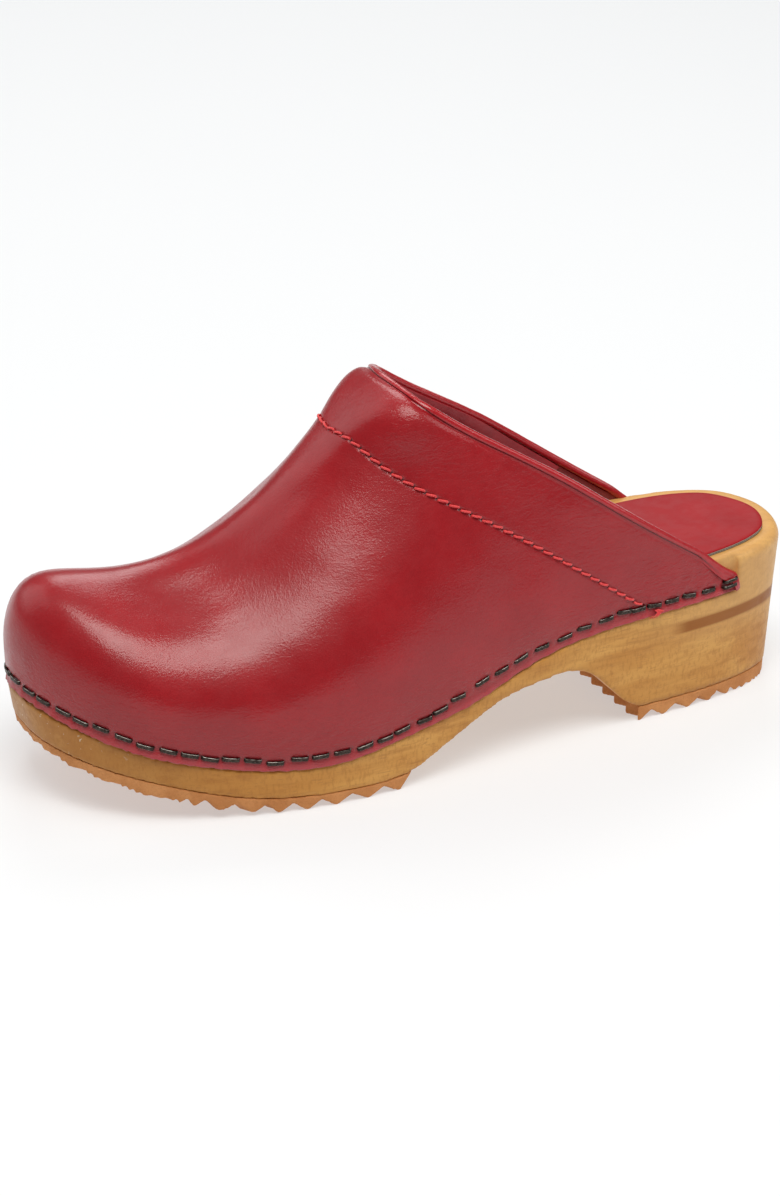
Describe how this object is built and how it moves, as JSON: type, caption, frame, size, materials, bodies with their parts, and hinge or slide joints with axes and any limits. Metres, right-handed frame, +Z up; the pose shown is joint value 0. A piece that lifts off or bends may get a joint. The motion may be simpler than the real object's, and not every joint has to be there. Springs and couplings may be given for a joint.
{
  "type": "wooden clog",
  "caption": "Open-back clog with a carved wooden sole and block heel, glossy red leather upper stapled round its edge, and ribbed rubber treads.",
  "frame": {"origin": "middle of the shoe's footprint box, on the floor", "axes": "+Z up, -X towards the toe, +X towards the heel, -Y towards the outer side of this left shoe"},
  "size_m": [0.2657, 0.0981, 0.1208],
  "materials": {
    "wood": "clear satin lacquer over fine straight grain",
    "outsole_rubber": "matt ribbed crepe-coloured rubber",
    "red_leather": "glossy, smooth, fine grain",
    "lining_leather": "dark red, satin",
    "piping_leather": "glossy, tightly stretched",
    "sock_leather": "satin, fine grain",
    "staple_wire": "dark bronzed flat wire",
    "thread": "waxed twisted thread",
    "cord": "twisted cotton",
    "foam": "soft foam",
    "stiffener": "pressed fibre board"
  },
  "bodies": {
    "root": {"wooden_sole": "wood", "forefoot_outsole": "outsole_rubber", "heel_outsole": "outsole_rubber", "upper": "red_leather", "toe_stiffener": "stiffener", "collar_padding": "foam", "collar_lining": "lining_leather", "topline_piping": "piping_leather", "piping_cord": "cord", "collar_stitching": "thread", "seam_thread_ends": "thread", "staples_outer": "staple_wire", "staples_inner": "staple_wire", "staples_toe": "staple_wire", "end_staples": "staple_wire", "sock_leather": "sock_leather", "sock_cushion": "foam"}
  },
  "joints": []
}
